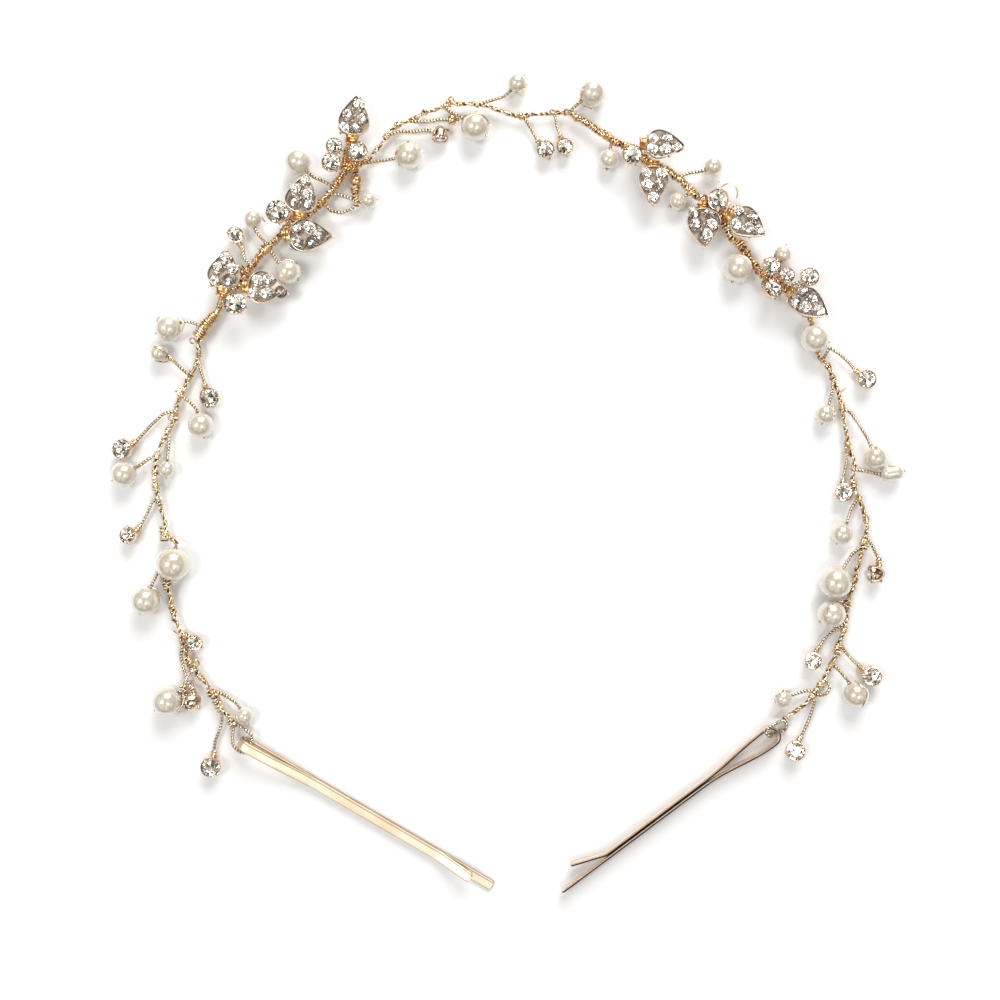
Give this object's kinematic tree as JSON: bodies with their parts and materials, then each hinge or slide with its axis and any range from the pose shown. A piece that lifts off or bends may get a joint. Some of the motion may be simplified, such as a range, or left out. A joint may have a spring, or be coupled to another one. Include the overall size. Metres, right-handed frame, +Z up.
{
  "type": "pearl headband",
  "caption": "Open arch of twisted gold wire with pearls on short sprigs, claw-set stones and stone-set cast leaves, with a hair pin hung on a wire loop at each end.",
  "frame": {"origin": "middle of the footprint, on the surface that the band lies on", "axes": "+Z up out of the surface, +Y towards the crown of the arch, +X to the right as it lies face up"},
  "size_m": [0.1427, 0.1479, 0.0072],
  "materials": {
    "pearl": "pearl lustre",
    "leaf_metal": "polished plating",
    "wire": "bright twisted wire",
    "setting_metal": "polished plating",
    "bead_metal": "polished",
    "stone": "faceted, foil backed",
    "pin_metal": "polished plating on steel"
  },
  "bodies": {
    "vine": {"pearl_01": "pearl", "pearl_02": "pearl", "pearl_03": "pearl", "pearl_04": "pearl", "pearl_05": "pearl", "pearl_06": "pearl", "pearl_07": "pearl", "pearl_08": "pearl", "pearl_09": "pearl", "pearl_10": "pearl", "pearl_11": "pearl", "pearl_12": "pearl", "pearl_13": "pearl", "pearl_14": "pearl", "pearl_15": "pearl", "pearl_16": "pearl", "pearl_17": "pearl", "pearl_18": "pearl", "pearl_19": "pearl", "pearl_20": "pearl", "pearl_21": "pearl", "pearl_22": "pearl", "pearl_23": "pearl", "pearl_24": "pearl", "pearl_25": "pearl", "pearl_26": "pearl", "pearl_27": "pearl", "pearl_28": "pearl", "pearl_29": "pearl", "pearl_30": "pearl", "pearl_31": "pearl", "leaf_01": "leaf_metal", "leaf_02": "leaf_metal", "leaf_03": "leaf_metal", "leaf_04": "leaf_metal", "leaf_05": "leaf_metal", "leaf_06": "leaf_metal", "leaf_07": "leaf_metal", "leaf_08": "leaf_metal", "leaf_09": "leaf_metal", "leaf_10": "leaf_metal", "wire_left_lower": "wire", "wire_left_upper": "wire", "wire_left_stem": "wire", "wire_top": "wire", "wire_right_stem": "wire", "wire_right_upper": "wire", "wire_right_lower": "wire", "leaf_stones_left": "stone", "leaf_stones_right": "stone", "drop_settings": "setting_metal", "drop_stones": "stone", "cluster_settings": "setting_metal", "cluster_stones": "stone", "gold_beads": "bead_metal"},
    "left_pin": {"pin_left": "pin_metal"},
    "right_pin": {"pin_right": "pin_metal"}
  },
  "joints": [
    {"name": "left_pin_swing", "type": "hinge", "parent": "vine", "child": "left_pin", "pos_m": [-0.0466, -0.0474, 0.0019], "axis": [-0.503, -0.8643, 0], "range_deg": [0, 90]},
    {"name": "right_pin_turn", "type": "hinge", "parent": "vine", "child": "right_pin", "pos_m": [0.0477, -0.0456, 0.0017], "axis": [0, 0, 1], "range_deg": [-60, 30]}
  ]
}
